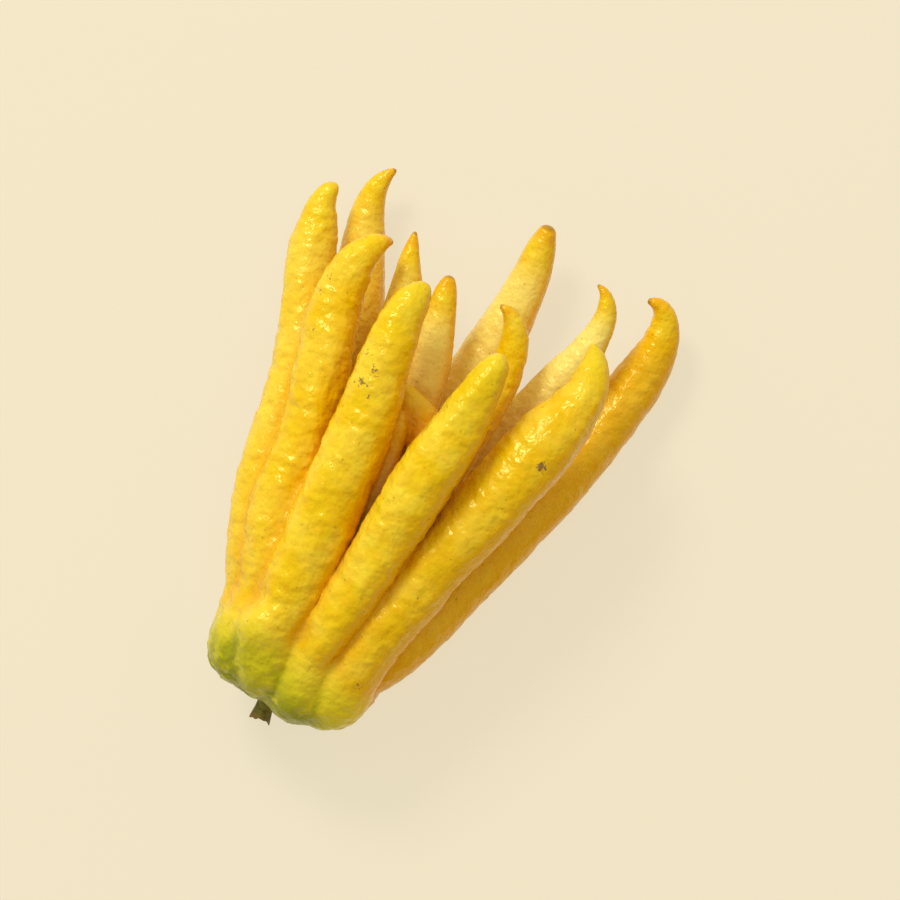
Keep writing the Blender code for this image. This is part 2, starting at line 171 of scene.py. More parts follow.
BROWN_TIPS: dict[str, float] = {  # how far brown runs back from a tip
    "low_left": 7.0, "small_left": 12.0, "low_middle": 8.0, "hooked": 8.0,
    "low_right": 9.0, "outer_right": 9.0, "small_middle": 7.0, "upper_left": 6.0,
}
LEMON_TIPS: dict[str, float] = {  # how far a green tinge runs back from a tip
    "top_middle": 42.0, "top_left": 26.0, "top_right": 30.0,
}
TONE_AND_LIGHT: dict[str, float] = {  # how creamy a finger is, partly its own tone and partly painted light on fingers in shade; below 0 it is amber, painted shade
    "outer_left": 0.15, "low_left": 0.22, "low_middle": 0.50, "low_right": 0.62,
    "small_middle": 0.55, "small_left": 0.3, "bud": 0.8, "crossing": -0.7,
    "outer_right": -0.3, "top_right": -0.15, "upper_left": -0.12, "hooked": -0.12,
}
WRINKLED: dict[str, float] = {  # how strongly a finger is wrinkled
    "outer_left": 1.0, "upper_left": 1.15, "top_left": 1.1, "top_middle": 0.9,
    "top_right": 0.8, "outer_right": 0.6,
}
LEAST_WRINKLED = 0.5  # for the other fingers


class Piece(Enum):
    """The names of the shown pieces."""

    RIND = "rind_skin"
    CALYX = "calyx_star"
    STUB = "torn_stub"


class Finish(Enum):
    """The material slots' names."""

    RIND = "rind"
    CALYX = "calyx"
    STEM = "stem"


class ValueNoise:
    """Smooth repeatable noise on a wrapped lattice of random values.

    Attributes:
        SIZE: Lattice steps before it repeats.
        GAIN: Brings the smoothed values back to about -1 to 1.
        FINER: How much finer each layer is than the one before.
        SHIFT: Keeps the layers' patterns apart.
    """

    SIZE = 64
    GAIN = 1.5
    FINER = 2.03
    SHIFT = 17.3

    def __init__(self, seed: int) -> None:
        """Fills the lattice.

        Args:
            seed: Fixes the values.
        """
        draw = np.random.default_rng(seed)
        self.lattice = draw.uniform(-1.0, 1.0, (self.SIZE,) * 3).astype(np.float32)

    def at(self, points: np.ndarray) -> np.ndarray:
        """Reads the noise.

        Args:
            points: Places in lattice steps, one row each.

        Returns:
            Values from about -1 to 1.
        """
        cell = np.floor(points).astype(np.int64)
        part = (points - cell).astype(np.float32)
        part = part * part * part * (part * (part * 6 - 15) + 10)
        total = np.zeros(len(points), np.float32)
        for corner in range(8):
            step = np.array([corner & 1, corner >> 1 & 1, corner >> 2 & 1])
            share = np.where(step, part, 1 - part).prod(axis=1)
            x, y, z = ((cell + step) % self.SIZE).T
            total += share * self.lattice[x, y, z]
        return total * self.GAIN

    def layered(self, points: np.ndarray, layers: int) -> np.ndarray:
        """Adds finer and weaker layers of the noise.

        Args:
            points: Places in lattice steps of the coarsest layer.
            layers: How many layers.

        Returns:
            The sum, from about -1 to 1.
        """
        total = np.zeros(len(points), np.float32)
        for layer in range(layers):
            place = points * self.FINER**layer + self.SHIFT * layer
            total += self.at(place) * 0.5**layer
        return total / (2 - 0.5 ** (layers - 1))


def smooth_step(low: float, high: float, value: np.ndarray) -> np.ndarray:
    """Returns 0 below low, 1 above high and a smooth rise between them."""
    part = np.clip((value - low) / (high - low), 0.0, 1.0)
    return part * part * (3 - 2 * part)


def smooth_lower(one: np.ndarray, other: np.ndarray, width: np.ndarray) -> np.ndarray:
    """Returns the lower of two distances, with a fillet of that width between them."""
    close = np.maximum(width - np.abs(one - other), 0.0) / width
    return np.minimum(one, other) - close * close * width * 0.25


@dataclass
class Finger:
    """One carpel, as a limb along a smooth centre line.

    Attributes:
        name: Which finger this is.
        stations: Its chosen centre points and radii, from the root.
        spacing: How far apart the points read from the curve are.
        path: Points and radii read from the curve.
        along: Direction of each short stretch of it.
        sides: Sideways direction of each stretch.
        reach: Length from the root to each point.
    """

    name: str
    stations: tuple[Station, ...]
    spacing: float = 2.6
    path: np.ndarray = field(init=False)
    along: np.ndarray = field(init=False)
    sides: np.ndarray = field(init=False)
    reach: np.ndarray = field(init=False)

    def __post_init__(self) -> None:
        """Reads the curve and carries a side direction along it without twist."""
        self.path = self._curve()
        steps = np.diff(self.path[:, :3], axis=0)
        lengths = np.linalg.norm(steps, axis=1)
        self.along = steps / lengths[:, None]
        self.reach = np.concatenate([[0.0], np.cumsum(lengths)])
        side = np.array([1.0, 0.0, 0.0])
        sides = []
        for direction in self.along:
            side = side - direction * side.dot(direction)
            side /= np.linalg.norm(side)
            sides.append(side)
        self.sides = np.array(sides)

    def _curve(self) -> np.ndarray:
        """Returns points x, y, z, radius along a smooth curve through the stations."""
        given = np.array(self.stations)
        ends = np.vstack([2 * given[0] - given[1], given, 2 * given[-1] - given[-2]])
        points = []
        for p, q, r, s in zip(ends, ends[1:], ends[2:], ends[3:]):
            count = max(2, math.ceil(np.linalg.norm(r[:3] - q[:3]) / self.spacing))
            for t in np.arange(count) / count:
                bend = 2 * p - 5 * q + 4 * r - s
                twist = 3 * q - p - 3 * r + s
                points.append(0.5 * (2 * q + (r - p) * t + bend * t**2 + twist * t**3))
        points.append(given[-1])
        curve = np.array(points)
        curve[:, 2] -= SINK
        return curve

    def box(self, margin: float) -> tuple[np.ndarray, np.ndarray]:
        """Returns the lowest and highest corners of the finger, grown by a margin."""
        radius = self.path[:, 3:] + margin
        return (self.path[:, :3] - radius).min(0), (self.path[:, :3] + radius).max(0)

    def nearest(self, points: np.ndarray) -> tuple[np.ndarray, np.ndarray]:
        """Finds where points lie on the finger.

        Args:
            points: Places, one row each.

        Returns:
            The signed distance of each point, and its place in the finger's own
            directions: along the curve, sideways and upwards.
        """
        best = np.full(len(points), np.inf)
        local = np.zeros((len(points), 3))
        for index, (start, end) in enumerate(zip(self.path, self.path[1:])):
            step = end[:3] - start[:3]
            offset = points - start[:3]
            part = np.clip(offset @ step / step.dot(step), 0.0, 1.0)
            away = offset - part[:, None] * step
            radius = start[3] + part * (end[3] - start[3])
            distance = np.linalg.norm(away, axis=1) - radius
            nearer = distance < best
            best[nearer] = distance[nearer]
            length = self.reach[index + 1] - self.reach[index]
            side = self.sides[index]
            up = np.cross(self.along[index], side)
            local[nearer, 0] = (self.reach[index] + part * length)[nearer]
            local[nearer, 0] += (away @ self.along[index])[nearer]
            local[nearer, 1] = (away @ side)[nearer]
            local[nearer, 2] = (away @ up)[nearer]
        return best, local


@dataclass
class DistanceGrid:
    """A box of cells that holds the distance to the skin.

    Attributes:
        low: Lowest corner.
        high: Highest corner.
        cell: Cell size.
        margin: How far from each finger its distance is still read.
        fillet_width: Width of the fillet between two carpels.
        stalk_fillet: How much wider it is at the stalk.
        left_fillet: How much wider it is between the leftmost carpels.
        values: The distances, in cells along x, y and z.
        axes: The cells' places on each axis.
    """

    low: Point = (-84.0, -106.0, -6.0)
    high: Point = (84.0, 110.0, 86.0)
    cell: float = 0.72
    margin: float = 11.0
    fillet_width: float = 1.4
    stalk_fillet: float = 1.5
    left_fillet: float = 2.2
    values: np.ndarray = field(init=False)
    axes: list[np.ndarray] = field(init=False)

    def __post_init__(self) -> None:
        """Lays out the cells, all far outside."""
        self.axes = [
            np.arange(low, high, self.cell) for low, high in zip(self.low, self.high)
        ]
        shape = tuple(len(axis) for axis in self.axes)
        self.values = np.full(shape, self.margin, np.float32)

    def block(self, low: np.ndarray, high: np.ndarray) -> tuple[slice, ...]:
        """Returns the cells inside a box."""
        return tuple(
            slice(*np.searchsorted(axis, (start, end)))
            for axis, start, end in zip(self.axes, low, high)
        )

    def places(self, block: tuple[slice, ...]) -> list[np.ndarray]:
        """Returns the x, y and z of a block, each shaped to combine with the others."""
        x, y, z = (axis[cells] for axis, cells in zip(self.axes, block))
        return [x[:, None, None], y[None, :, None], z[None, None, :]]

    def fillet(self, x: np.ndarray, y: np.ndarray) -> np.ndarray:
        """Returns how widely carpels flow together: most at the stalk and on the left."""
        stalk_end = 1 - smooth_step(-94.0, -68.0, y)
        left = 1 - smooth_step(-36.0, -18.0, x)
        return self.fillet_width + self.stalk_fillet * stalk_end + self.left_fillet * left

    def join(self, block: tuple[slice, ...], distance: np.ndarray) -> None:
        """Adds a shape to the fruit.

        Args:
            block: The cells that it is given for.
            distance: Its distance there.
        """
        x, y, _ = self.places(block)
        merged = smooth_lower(self.values[block], distance, self.fillet(x, y))
        self.values[block] = merged

    def add_finger(self, finger: Finger) -> None:
        """Adds one finger, one short stretch of its curve at a time."""
        lowest, highest = finger.box(self.margin)
        whole = self.block(lowest, highest)
        found = np.full([s.stop - s.start for s in whole], self.margin, np.float32)
        for start, end in zip(finger.path, finger.path[1:]):
            reach = max(start[3], end[3]) + self.margin
            low = np.maximum(np.minimum(start[:3], end[:3]) - reach, lowest)
            high = np.minimum(np.maximum(start[:3], end[:3]) + reach, highest)
            block = self.block(low, high)
            step = end[:3] - start[:3]
            away = [place - at for place, at in zip(self.places(block), start)]
            part = sum(way * move for way, move in zip(away, step)) / step.dot(step)
            part = np.clip(part, 0.0, 1.0).astype(np.float32)
            squares = sum((way - part * move) ** 2 for way, move in zip(away, step))
            distance = np.sqrt(squares) - start[3] - part * (end[3] - start[3])
            inner = tuple(
                slice(b.start - w.start, b.stop - w.start)
                for b, w in zip(block, whole)
            )
            found[inner] = np.minimum(found[inner], distance)
        self.join(whole, found)

    def add_core(self, centre: Point, half_axes: Point) -> None:
        """Adds the solid heart of the fruit, an ellipsoid."""
        middle, axes = np.array(centre) - (0, 0, SINK), np.array(half_axes)
        block = self.block(middle - axes - self.margin, middle + axes + self.margin)
        scaled, steeper = 0.0, 0.0
        for place, at, axis in zip(self.places(block), middle, axes):
            scaled = scaled + ((place - at) / axis) ** 2
            steeper = steeper + ((place - at) / axis**2) ** 2
        scaled, steeper = np.sqrt(scaled), np.sqrt(steeper)
        self.join(block, scaled * (scaled - 1) / np.maximum(steeper, 1e-6))

    def sink_seat(self, room: float = 34.0) -> None:
        """Hollows the recess of the stalk.

        Args:
            room: How far from the middle of its floor it is worked out.
        """
        axis = np.array(STALK_AXIS) / np.linalg.norm(STALK_AXIS)
        middle = np.array(SEAT_CENTRE)
        block = self.block(middle - room, middle + room)
        away = [place - at for place, at in zip(self.places(block), middle)]
        out = sum(way * move for way, move in zip(away, axis))
        across = np.sqrt(np.maximum(sum(way**2 for way in away) - out**2, 0.0))
        hollow = np.maximum(across - SEAT_RADIUS - SEAT_FLARE * out, -out)
        edge = np.float32(SEAT_EDGE)
        self.values[block] = -smooth_lower(-self.values[block], hollow, edge)

    def skin(self) -> tuple[np.ndarray, np.ndarray]:
        """Returns the points and four-sided faces of the surface."""
        volume = openvdb.FloatGrid(self.margin)
        volume.copyFromArray(self.values)
        volume.transform = openvdb.createLinearTransform(voxelSize=self.cell)
        points, quads = volume.convertToQuads(isovalue=0.0)
        return points + np.array(self.low), quads


@dataclass(frozen=True)
class Blemish:
    """A patch of small scars.

    Attributes:
        place: Its middle on the rind.
        radius: How far it spreads.
        strength: How many of its pores are dark; 1 is most of them.
    """

    place: Point
    radius: float
    strength: float


@dataclass(frozen=True)
class Swelling:
    """A broad knob of the rind's upper side, or a hollow.

    Attributes:
        place: Its middle, seen from above.
        radius: How far it spreads.
        height: How far it rises; a hollow's is negative.
        fades: Heights over the floor between which it comes to full strength.
    """

    place: tuple[float, float]
    radius: float
    height: float
    fades: tuple[float, float] = (20.0, 36.0)

    def at(self, points: np.ndarray) -> np.ndarray:
        """Returns the rise at these points."""
        away = np.linalg.norm(points[:, :2] - np.array(self.place), axis=1)
        upper = smooth_step(*self.fades, points[:, 2])
        return self.height * upper * np.exp(-((away / self.radius) ** 2))


@dataclass(frozen=True)
class Relief:
    """One kind of unevenness of the rind.

    Attributes:
        height: How far it rises and falls.
        length: Its size along the finger.
        width: Its size across the finger.
        seed: Fixes its pattern.
        layers: How many layers of noise it has.
    """

    height: float
    length: float
    width: float
    seed: int
    layers: int = 2

    def at(self, local: np.ndarray) -> np.ndarray:
        """Returns the rise at places given in a finger's own directions."""
        steps = local / (self.length, self.width, self.width)
        return self.height * ValueNoise(self.seed).layered(steps, self.layers)


@dataclass
class Rind:
    """The fruit's skin: its shape, its surface and what its finish needs to know.

    Attributes:
        fingers: All the carpels.
        reliefs: The kinds of unevenness.
        swellings: Knobs and hollows of the base.
        blemishes: Scarred patches.
        margin: How far from a finger the rind still belongs to it.
        far: The distance of a finger that isn't near.
        blend: How softly one finger's rind turns into the next one's.
        shade_spread: How far the painted shade of the creases spreads from them.
        calm_tip: How far back from its tip a finger is smoother.
        shade_turn: How far rind faces the lamp's side, from full painted shade to none.
        green_line: Places along the fruit from fully green to ripe.
        green_patch: Size of the green's uneven patches.
    """

    fingers: list[Finger]
    margin: float = 7.0
    far: float = 40.0
    blend: float = 1.1
    shade_spread: float = 2.1
    calm_tip: float = 22.0
    shade_turn: tuple[float, float] = (-0.1, 0.8)
    green_line: tuple[float, float] = (-98.0, -60.0)
    green_patch: float = 11.0
    reliefs: tuple[Relief, ...] = (
        Relief(0.70, 26.0, 15.0, 11),
        Relief(0.36, 60.0, 7.0, 12),
        Relief(0.34, 6.5, 8.0, 15),
        Relief(0.28, 2.7, 4.8, 13),
        Relief(0.07, 1.6, 2.3, 14),
    )
    swellings: tuple[Swelling, ...] = (
        Swelling((-26.0, -60.5), 5.5, -2.4),
        Swelling((-18.6, -69.0), 5.0, 1.2),
        Swelling((-23.0, -72.5), 6.5, 1.8),
        Swelling((-6.4, -66.7), 5.0, -1.8),
    )
    blemishes: tuple[Blemish, ...] = (
        Blemish((-27.6, 31.5, 67.0), 2.0, 0.8),
        Blemish((-22.6, 26.8, 69.0), 2.8, 1.0),
        Blemish((-24.9, 21.3, 68.0), 3.6, 1.0),
        Blemish((-20.5, 18.0, 69.0), 2.4, 0.8),
        Blemish((-20.5, 12.5, 69.0), 2.4, 0.6),
        Blemish((43.7, 22.4, 62.0), 2.5, 1.5),
        Blemish((51.3, 41.8, 55.0), 2.0, 0.7),
        Blemish((-50.8, 49.9, 46.0), 2.6, 0.8),
        Blemish((-51.3, 43.0, 46.0), 2.6, 0.7),
        Blemish((-47.9, 30.3, 48.0), 1.6, 0.8),
        Blemish((19.9, -73.8, 48.0), 2.6, 0.9),
        Blemish((25.4, -37.2, 58.0), 1.0, 1.2),
        Blemish((12.7, 50.9, 73.0), 1.2, 1.2),
        Blemish((50.5, 4.6, 30.0), 2.2, 0.6),
        Blemish((47.2, -2.3, 30.0), 2.2, 0.6),
    )

    def build(self) -> bpy.types.Object:
        """Grows the skin and returns it as one closed piece."""
        grid = DistanceGrid()
        for finger in self.fingers:
            grid.add_finger(finger)
        grid.add_core(CORE_CENTRE, CORE_HALF_AXES)
        grid.sink_seat()
        points, quads = grid.skin()
        LOG.info("rind: %d points, %d faces", len(points), len(quads))
        piece = mesh_piece(Piece.RIND, points, quads)
        normals = np.empty(len(points) * 3, np.float32)
        piece.data.vertex_normals.foreach_get("vector", normals)
        normals = normals.reshape(-1, 3)
        rise, marks = self._read(points)
        toward_lamp = normals @ np.array(LAMP_SIDE)
        # painted shade: how far the rind turns away from the lamp's side; rind facing it
        # gets painted light
        marks["painted_shade"] = 1 - smooth_step(*self.shade_turn, toward_lamp)
        points = points + normals * rise[:, None]
        points[:, 2] = np.maximum(points[:, 2], 0.0)
        piece.data.vertices.foreach_set("co", (points * MM).astype(np.float32).ravel())
        for name, values in marks.items():
            add_mark(piece, name, values)
        piece.data.update()
        return piece

    def _read(self, points: np.ndarray) -> tuple[np.ndarray, dict[str, np.ndarray]]:
        """Asks every finger about the points near it, and blends where fingers meet.

        Args:
            points: Places on the smooth skin.

        Returns:
            How far each point rises, and its values for the finish, by name.
        """
        count = len(points)
        own, following = np.full(count, self.far), np.full(count, self.far)
        total, squares = np.zeros(count), np.zeros(count)
        rise = np.zeros(count)
        marks = {name: np.zeros(count) for name in ("tip", "lemon", "tone_and_light")}
        for index, finger in enumerate(self.fingers):
            low, high = finger.box(self.margin)
            near = np.flatnonzero(((points > low) & (points < high)).all(axis=1))
            distance, local = finger.nearest(points[near])
            closer = distance < own[near]
            following[near] = np.where(
                closer, own[near], np.minimum(following[near], distance)
            )
            own[near] = np.minimum(own[near], distance)
            share = np.exp(-np.clip(distance, 0.0, 12.0) / self.blend) + 1e-9
            local_here = local + (83.0 * index, 0.0, 0.0)  # no two fingers are alike
            from_tip = finger.reach[-1] - local[:, 0]
            calm = 0.35 + 0.65 * smooth_step(0.0, self.calm_tip, from_tip)
            calm *= WRINKLED.get(finger.name, LEAST_WRINKLED)
            here = sum(relief.at(local_here) for relief in self.reliefs) * calm
            total[near] += share
            squares[near] += share**2
            rise[near] += share * here
            for mark, table in (("tip", BROWN_TIPS), ("lemon", LEMON_TIPS)):
                length = table.get(finger.name, 0.0)
                if length:
                    value = 1 - smooth_step(-finger.path[-1, 3], length, from_tip)
                    marks[mark][near] += share * value
            # each finger's own tone together with its painted light and shade
            grown = smooth_step(3.0, self.calm_tip, from_tip)
            marks["tone_and_light"][near] += share * (TONE_AND_LIGHT.get(finger.name, 0.0) * grown)
        for values in marks.values():
            values /= np.maximum(total, 1e-9)
        rise /= np.sqrt(np.maximum(squares, 1e-18))
        rise += sum(swelling.at(points) for swelling in self.swellings)
        # painted shade: how near the rind lies to the next finger, for shade painted into
        # the creases
        marks["crease_shade"] = np.exp(-np.clip(following, 0.0, self.far) / self.shade_spread)
        marks["green"] = self._green(points, marks["crease_shade"])
        marks["scar"] = self._scars(points)
        return rise, marks

    def _green(self, points: np.ndarray, crease_shade: np.ndarray) -> np.ndarray:
        """Returns how green the rind still is: most around the stalk."""
        x, y, _ = points.T
        patch = ValueNoise(31).layered(points / self.green_patch, 2)
        # the green reaches further into the creases, darkening them with painted shade
        line = y + 5.0 * patch - 4.0 * crease_shade + 0.42 * np.maximum(x, 0.0)
        return 1 - smooth_step(*self.green_line, line)

    def _scars(self, points: np.ndarray) -> np.ndarray:
        """Returns how scarred the rind is."""
        total = np.zeros(len(points))
        for blemish in self.blemishes:
            offset = (points - np.array(blemish.place)) * (1.0, 1.0, 0.4)
            away = np.linalg.norm(offset, axis=1)
            spread = np.exp(-((away / blemish.radius) ** 2))
            total = np.maximum(total, blemish.strength * spread)
        return total


def mesh_piece(piece: Piece, points: np.ndarray, faces: np.ndarray) -> bpy.types.Object:
    """Makes a smooth-shaded piece.

    Args:
        piece: Which one.
        points: Places in millimetres.
        faces: Rows of point numbers.

    Returns:
        The new object.
    """
    data = bpy.data.meshes.new(piece.value)
    data.from_pydata((points * MM).tolist(), [], faces.tolist())
    data.shade_smooth()
    data.update()
    made = bpy.data.objects.new(piece.value, data)
    bpy.context.scene.collection.objects.link(made)
    return made


def add_mark(piece: bpy.types.Object, name: str, values: np.ndarray) -> None:
    """Stores a value at each point of a piece, for its finish to read."""
    mark = piece.data.attributes.new(name, "FLOAT", "POINT")
    mark.data.foreach_set("value", values.astype(np.float32).ravel())


@dataclass
class StalkEnd:
    """What is left of the stalk: the calyx pressed on the fruit and the torn stub.

    Both are closed forms around the stalk's axis, made ring by ring.

    Attributes:
        lobes: How many points the calyx has.
        inner: Radius between its points.
        outer: Radius at its points.
        thick: Height of its upper side over the floor of its recess.
        under: How far its lower side is pressed into that floor.
        neck: How much higher it is round the stub.
        rib: Height of the ribs on its lobes.
        curl: How far its points curl up.
        stub_start: Where the stub starts, over the recess's floor.
        stub_length: Length of the stub.
        stub_radii: Radius at even steps along the stub.
        groove: Depth of the stub's lengthwise grooves.
    """

    lobes: int = 5
    inner: float = 4.7
    outer: float = 7.4
    thick: float = 0.75
    under: float = 0.4
    neck: float = 2.1
    rib: float = 0.18
    curl: float = 0.9
    stub_start: float = 1.2
    stub_length: float = 12.0
    stub_radii: tuple[float, ...] = (4.9, 3.9, 3.3, 3.0, 2.9, 3.0, 3.3, 3.7)
    groove: float = 0.28

    def _form(
        self, piece: Piece, out: np.ndarray, across: np.ndarray, edge: np.ndarray
    ) -> bpy.types.Object:
        """Makes one closed form.

        Args:
            piece: Which piece it is.
            out: Height along the axis of each ring's points, one row for each ring.
            across: Their distance from the axis, in the same order.
            edge: How near to a dried edge they are, from 0 to 1, in the same order.

        Returns:
            The new object.
        """
        along = np.array(STALK_AXIS) / np.linalg.norm(STALK_AXIS)
        side = np.array([1.0, 0.0, 0.0])
        side -= along * side.dot(along)
        side /= np.linalg.norm(side)
        up = np.cross(along, side)
        rings, sides = out.shape
        angle = np.arange(sides) / sides * math.tau
        ways = np.cos(angle)[:, None] * side + np.sin(angle)[:, None] * up
        points = np.array(SEAT_CENTRE) + out[:, :, None] * along
        points = (points + across[:, :, None] * ways).reshape(-1, 3)
        ring, place = np.divmod(np.arange((rings - 1) * sides), sides)
        after = ring * sides + (place + 1) % sides
        here = ring * sides + place
        faces = np.stack([here, after, after + sides, here + sides], axis=1)
        made = mesh_piece(piece, points, faces)
        add_mark(made, "edge", edge)
        close_ends(made)
        return made

    def calyx(self) -> bpy.types.Object:
        """Makes the dry star with its curled, ribbed lobes."""
        sides, rows = 120, 14
        angle = np.arange(sides) / sides * math.tau
        lobe = np.abs(np.cos(angle * self.lobes / 2)) ** 1.6
        ragged = ValueNoise(51).at(np.stack([angle * 5, 0 * angle, 0 * angle], axis=1))
        reach = self.inner + (self.outer - self.inner) * lobe + 0.35 * ragged
        top, low = [], []
        for part in np.linspace(0.0, 1.0, rows):
            rib = self.rib * np.cos(angle * self.lobes * 3) * part
            curl = self.curl * part**5 * lobe + 0.25 * part**3 * ragged
            neck = self.neck * (1 - part) ** 2.2
            top.append((self.thick + neck + rib + curl, part * reach))
            low.append((-self.under + 0.8 * curl + 0 * angle, part * reach * 0.97))
        out, across = (np.array(rings) for rings in zip(*top, *low[::-1]))
        edge = np.clip(across / self.outer, 0.0, 1.0) ** 4
        return self._form(Piece.CALYX, out, across, edge)

    def stub(self) -> bpy.types.Object:
        """Makes the ribbed stub with its torn outer end."""
        sides, rows = 72, 44
        angle = np.arange(sides) / sides * math.tau
        around = np.stack([np.cos(angle), np.sin(angle)], axis=1)
        noise = ValueNoise(52)
        torn = 1.5 * np.abs(np.cos(angle + 0.35)) ** 4 + 0.9 * np.cos(angle)
        torn = torn + 0.5 * noise.at(np.column_stack([around * 2.6, 0 * angle]))
        out, across = [], []
        for part in np.linspace(0.0, 1.0, rows):
            at = part * (len(self.stub_radii) - 1)
            radius = np.interp(at, range(len(self.stub_radii)), self.stub_radii)
            lengthwise = np.column_stack([around * 3.2, 0 * angle + part * 1.6])
            radius = radius + self.groove * noise.at(lengthwise)
            height = self.stub_start + part * self.stub_length
            out.append(height + torn * max(0.0, (part - 0.75) / 0.25) ** 2)
            across.append(radius)
        rim = out[-1]
        for part in (0.93, 0.75, 0.5, 0.25, 0.0):
            dip = 0.9 * (1 - part) ** 0.5
            out.append(rim * part + (rim.mean() - 0.3) * (1 - part) - dip)
            across.append(across[rows - 1] * part)
        heights = np.array(out)
        whole = self.stub_length + self.stub_start
        edge = smooth_step(0.8, 1.0, heights / whole)
        return self._form(Piece.STUB, heights, np.array(across), edge)


def close_ends(piece: bpy.types.Object) -> None:
    """Closes a ringed form: welds rings that shrink to a point and fills open ones."""
    mesh = bmesh.new()
    mesh.from_mesh(piece.data)
    bmesh.ops.remove_doubles(mesh, verts=mesh.verts, dist=1e-6)
    bmesh.ops.holes_fill(mesh, edges=mesh.edges)
    bmesh.ops.recalc_face_normals(mesh, faces=mesh.faces)
    mesh.to_mesh(piece.data)
    mesh.free()
    piece.data.shade_smooth()


Socket = bpy.types.NodeSocket
COLOUR_PAIR = (6, 7)  # a Mix node's two colours among its inputs
COLOUR_OUT = 2  # its mixed colour among its outputs


class Bench:
    """A material's node tree, with short calls for the nodes that the finishes use."""

    def __init__(self, name: str) -> None:
        """Makes an empty tree with its shader and output.

        Args:
            name: The material's name.
        """
        self.material = bpy.data.materials.new(name)
        self.material.use_nodes = True
        self.tree = self.material.node_tree
        self.tree.nodes.clear()
        self.shader = self.tree.nodes.new("ShaderNodeBsdfPrincipled")
        output = self.tree.nodes.new("ShaderNodeOutputMaterial")
        self.wire(self.shader.outputs["BSDF"], output.inputs["Surface"])
        self.place = self.tree.nodes.new("ShaderNodeTexCoord").outputs["Object"]

    def wire(self, source: Socket, target: Socket) -> None:
        """Links two sockets."""
        self.tree.links.new(source, target)

    def put(self, value: object, target: Socket) -> None:
        """Sets a socket to a number or a colour, or links another socket to it."""
        if isinstance(value, Socket):
            self.wire(value, target)
        elif isinstance(value, tuple):
            target.default_value = (*value, 1.0)
        else:
            target.default_value = value

    def mark(self, name: str) -> Socket:
        """Reads one of the mesh's marks."""
        node = self.tree.nodes.new("ShaderNodeAttribute")
        node.attribute_name = name
        return node.outputs["Fac"]

    def noise(self, size: float, detail: float = 2.0) -> Socket:
        """Returns smooth noise from 0 to 1, with features of this size in millimetres."""
        node = self.tree.nodes.new("ShaderNodeTexNoise")
        node.inputs["Scale"].default_value = 1.0 / (size * MM)
        node.inputs["Detail"].default_value = detail
        self.wire(self.place, node.inputs["Vector"])
        return node.outputs["Fac"]

    def cells(self, size: float, feature: str = "F1") -> bpy.types.Node:
        """Returns a cell pattern, with cells of this size in millimetres."""
        node = self.tree.nodes.new("ShaderNodeTexVoronoi")
        node.feature = feature
        node.inputs["Scale"].default_value = 1.0 / (size * MM)
        self.wire(self.place, node.inputs["Vector"])
        return node

    def ramp(
        self, value: object, low: float, high: float, start: float = 0.0, end: float = 1.0
    ) -> Socket:
        """Maps low..high smoothly to start..end, and holds the ends."""
        node = self.tree.nodes.new("ShaderNodeMapRange")
        node.interpolation_type = "SMOOTHSTEP"
        self.put(value, node.inputs["Value"])
        names = ("From Min", "From Max", "To Min", "To Max")
        for name, number in zip(names, (low, high, start, end)):
            node.inputs[name].default_value = number
        return node.outputs["Result"]

    def times(self, one: object, other: object) -> Socket:
        """Multiplies two numbers."""
        return self._reckon("MULTIPLY", one, other)

    def plus(self, one: object, other: object) -> Socket:
        """Adds two numbers."""
        return self._reckon("ADD", one, other)

    def _reckon(self, action: str, one: object, other: object) -> Socket:
        """Works out one number from two."""
        node = self.tree.nodes.new("ShaderNodeMath")
        node.operation = action
        self.put(one, node.inputs[0])
        self.put(other, node.inputs[1])
        return node.outputs[0]

    def blend(self, share: object, one: object, other: object) -> Socket:
        """Mixes a share of the other colour into one."""
        node = self.tree.nodes.new("ShaderNodeMix")
        node.data_type = "RGBA"
        self.put(share, node.inputs[0])
        for colour, socket in zip((one, other), COLOUR_PAIR):
            self.put(colour, node.inputs[socket])
        return node.outputs[COLOUR_OUT]

    def bump(self, height: object, depth: float, before: object) -> Socket:
        """Adds fine relief of this depth in millimetres to the normals so far."""
        node = self.tree.nodes.new("ShaderNodeBump")
        node.inputs["Distance"].default_value = depth * MM
        self.put(height, node.inputs["Height"])
        if before is not None:
            self.wire(before, node.inputs["Normal"])
        return node.outputs["Normal"]

    def finish(self, colour: object, roughness: object, normal: object) -> None:
        """Gives the shader its colour, roughness and normals."""
        self.put(colour, self.shader.inputs["Base Color"])
        self.put(roughness, self.shader.inputs["Roughness"])
        self.put(normal, self.shader.inputs["Normal"])


